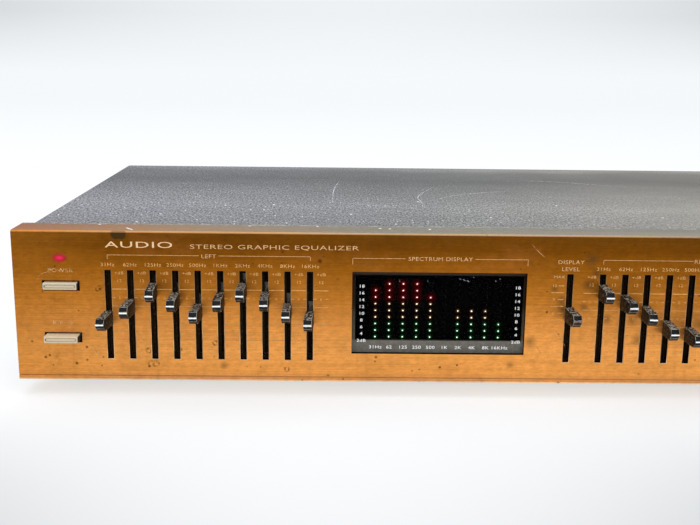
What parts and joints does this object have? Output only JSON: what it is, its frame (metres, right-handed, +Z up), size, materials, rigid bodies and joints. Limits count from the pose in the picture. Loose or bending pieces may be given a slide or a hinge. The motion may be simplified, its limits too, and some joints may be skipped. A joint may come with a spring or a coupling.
{
  "type": "graphic equalizer",
  "caption": "Low, wide stereo graphic equalizer with a gold brushed fascia, rows of vertical slide controls, a lamp-matrix spectrum display, push buttons and a grey steel case.",
  "frame": {"origin": "on the surface the feet stand on, midway along the fascia and midway between the slider tips and the phono shells' tips", "axes": "+X to the right as seen from the front, +Y from the fascia towards the rear panel, +Z up"},
  "size_m": [0.42, 0.2666, 0.0813],
  "materials": {
    "fascia_gold": "brushed and anodised gold",
    "end_cap_gold": "satin, bronze",
    "chassis_steel": "zinc plated",
    "display_grey": "satin",
    "smoked_lens": "clear, smoked",
    "lamp_green": "lit lamp",
    "lamp_yellow": "lit lamp",
    "lamp_red": "lit lamp",
    "lamp_power": "lit lamp",
    "black_plastic": "moulded",
    "board_green": "solder mask",
    "board_brown": "phenolic",
    "pot_steel": "plated",
    "core_iron": "varnished laminations",
    "winding_tape": "polyester tape",
    "capacitor_sleeve": "shrink sleeve",
    "sink_aluminium": "black anodised",
    "fuse_glass": "clear",
    "clip_brass": "tinned",
    "standoff_nylon": "nylon",
    "rear_paint": "satin black",
    "cover_grey": "fine textured grey",
    "foot_rubber": "matt",
    "screw_black": "black oxide",
    "screw_zinc": "zinc plated",
    "jack_nickel": "nickel plated",
    "jack_white": "moulded",
    "slider_black": "moulded, worn gloss",
    "button_ivory": "moulded"
  },
  "bodies": {
    "case": {"front_fascia": "fascia_gold", "fascia_end_caps": "end_cap_gold", "sub_panel": "rear_paint", "display_frame": "display_grey", "display_lens": "smoked_lens", "leds_green": "lamp_green", "leds_yellow": "lamp_yellow", "leds_red": "lamp_red", "led_mask": "black_plastic", "display_board": "board_green", "power_led": "lamp_power", "slider_board": "board_green", "slide_pot_housings": "pot_steel", "power_switch_housing": "black_plastic", "function_switch_housings": "black_plastic", "main_board": "board_brown", "transformer_core": "core_iron", "transformer_winding": "winding_tape", "filter_capacitors": "capacitor_sleeve", "op_amp_ics": "black_plastic", "heat_sink": "sink_aluminium", "fuse": "fuse_glass", "fuse_clips": "clip_brass", "board_standoffs": "standoff_nylon", "chassis_base": "chassis_steel", "rear_panel": "rear_paint", "top_cover": "cover_grey", "feet": "foot_rubber", "cover_screws": "screw_black", "chassis_screws": "screw_zinc", "jack_block": "black_plastic", "jack_shells": "jack_nickel", "jack_insulators": "jack_white", "cord_gland": "black_plastic"},
    "slider_left_01": {"slider_left_01": "slider_black"},
    "slider_left_02": {"slider_left_02": "slider_black"},
    "slider_left_03": {"slider_left_03": "slider_black"},
    "slider_left_04": {"slider_left_04": "slider_black"},
    "slider_left_05": {"slider_left_05": "slider_black"},
    "slider_left_06": {"slider_left_06": "slider_black"},
    "slider_left_07": {"slider_left_07": "slider_black"},
    "slider_left_08": {"slider_left_08": "slider_black"},
    "slider_left_09": {"slider_left_09": "slider_black"},
    "slider_left_10": {"slider_left_10": "slider_black"},
    "slider_right_01": {"slider_right_01": "slider_black"},
    "slider_right_02": {"slider_right_02": "slider_black"},
    "slider_right_03": {"slider_right_03": "slider_black"},
    "slider_right_04": {"slider_right_04": "slider_black"},
    "slider_right_05": {"slider_right_05": "slider_black"},
    "slider_right_06": {"slider_right_06": "slider_black"},
    "slider_right_07": {"slider_right_07": "slider_black"},
    "slider_right_08": {"slider_right_08": "slider_black"},
    "slider_right_09": {"slider_right_09": "slider_black"},
    "slider_right_10": {"slider_right_10": "slider_black"},
    "slider_display_level": {"slider_display_level": "slider_black"},
    "button_power": {"button_power": "button_ivory"},
    "button_left_lower": {"button_left_lower": "button_ivory"},
    "button_right_upper": {"button_right_upper": "button_ivory"},
    "button_right_lower": {"button_right_lower": "button_ivory"}
  },
  "joints": [
    {"name": "slider_left_01_slide", "type": "slide", "parent": "case", "child": "slider_left_01", "axis": [0, 0, 1], "range_m": [-0.0171, 0.0179]},
    {"name": "slider_left_02_slide", "type": "slide", "parent": "case", "child": "slider_left_02", "axis": [0, 0, 1], "range_m": [-0.023, 0.012]},
    {"name": "slider_left_03_slide", "type": "slide", "parent": "case", "child": "slider_left_03", "axis": [0, 0, 1], "range_m": [-0.031, 0.004]},
    {"name": "slider_left_04_slide", "type": "slide", "parent": "case", "child": "slider_left_04", "axis": [0, 0, 1], "range_m": [-0.0264, 0.0086]},
    {"name": "slider_left_05_slide", "type": "slide", "parent": "case", "child": "slider_left_05", "axis": [0, 0, 1], "range_m": [-0.0209, 0.0141]},
    {"name": "slider_left_06_slide", "type": "slide", "parent": "case", "child": "slider_left_06", "axis": [0, 0, 1], "range_m": [-0.0266, 0.0084]},
    {"name": "slider_left_07_slide", "type": "slide", "parent": "case", "child": "slider_left_07", "axis": [0, 0, 1], "range_m": [-0.0314, 0.0036]},
    {"name": "slider_left_08_slide", "type": "slide", "parent": "case", "child": "slider_left_08", "axis": [0, 0, 1], "range_m": [-0.0271, 0.0079]},
    {"name": "slider_left_09_slide", "type": "slide", "parent": "case", "child": "slider_left_09", "axis": [0, 0, 1], "range_m": [-0.0216, 0.0134]},
    {"name": "slider_left_10_slide", "type": "slide", "parent": "case", "child": "slider_left_10", "axis": [0, 0, 1], "range_m": [-0.0177, 0.0173]},
    {"name": "slider_right_01_slide", "type": "slide", "parent": "case", "child": "slider_right_01", "axis": [0, 0, 1], "range_m": [-0.0321, 0.0029]},
    {"name": "slider_right_02_slide", "type": "slide", "parent": "case", "child": "slider_right_02", "axis": [0, 0, 1], "range_m": [-0.0273, 0.0077]},
    {"name": "slider_right_03_slide", "type": "slide", "parent": "case", "child": "slider_right_03", "axis": [0, 0, 1], "range_m": [-0.0219, 0.0131]},
    {"name": "slider_right_04_slide", "type": "slide", "parent": "case", "child": "slider_right_04", "axis": [0, 0, 1], "range_m": [-0.0148, 0.0202]},
    {"name": "slider_right_05_slide", "type": "slide", "parent": "case", "child": "slider_right_05", "axis": [0, 0, 1], "range_m": [-0.0115, 0.0235]},
    {"name": "slider_right_06_slide", "type": "slide", "parent": "case", "child": "slider_right_06", "axis": [0, 0, 1], "range_m": [-0.014, 0.021]},
    {"name": "slider_right_07_slide", "type": "slide", "parent": "case", "child": "slider_right_07", "axis": [0, 0, 1], "range_m": [-0.019, 0.016]},
    {"name": "slider_right_08_slide", "type": "slide", "parent": "case", "child": "slider_right_08", "axis": [0, 0, 1], "range_m": [-0.0235, 0.0115]},
    {"name": "slider_right_09_slide", "type": "slide", "parent": "case", "child": "slider_right_09", "axis": [0, 0, 1], "range_m": [-0.0265, 0.0085]},
    {"name": "slider_right_10_slide", "type": "slide", "parent": "case", "child": "slider_right_10", "axis": [0, 0, 1], "range_m": [-0.029, 0.006]},
    {"name": "slider_display_level_slide", "type": "slide", "parent": "case", "child": "slider_display_level", "axis": [0, 0, 1], "range_m": [-0.0209, 0.0141]},
    {"name": "button_power_press", "type": "slide", "parent": "case", "child": "button_power", "axis": [0, 1, 0], "range_m": [-0.0027, 0]},
    {"name": "button_left_lower_press", "type": "slide", "parent": "case", "child": "button_left_lower", "axis": [0, 1, 0], "range_m": [0, 0.0035], "stiffness_N_per_m": 200, "springref_m": -0.002},
    {"name": "button_right_upper_press", "type": "slide", "parent": "case", "child": "button_right_upper", "axis": [0, 1, 0], "range_m": [0, 0.0035], "stiffness_N_per_m": 200, "springref_m": -0.002},
    {"name": "button_right_lower_press", "type": "slide", "parent": "case", "child": "button_right_lower", "axis": [0, 1, 0], "range_m": [0, 0.0035], "stiffness_N_per_m": 200, "springref_m": -0.002}
  ]
}
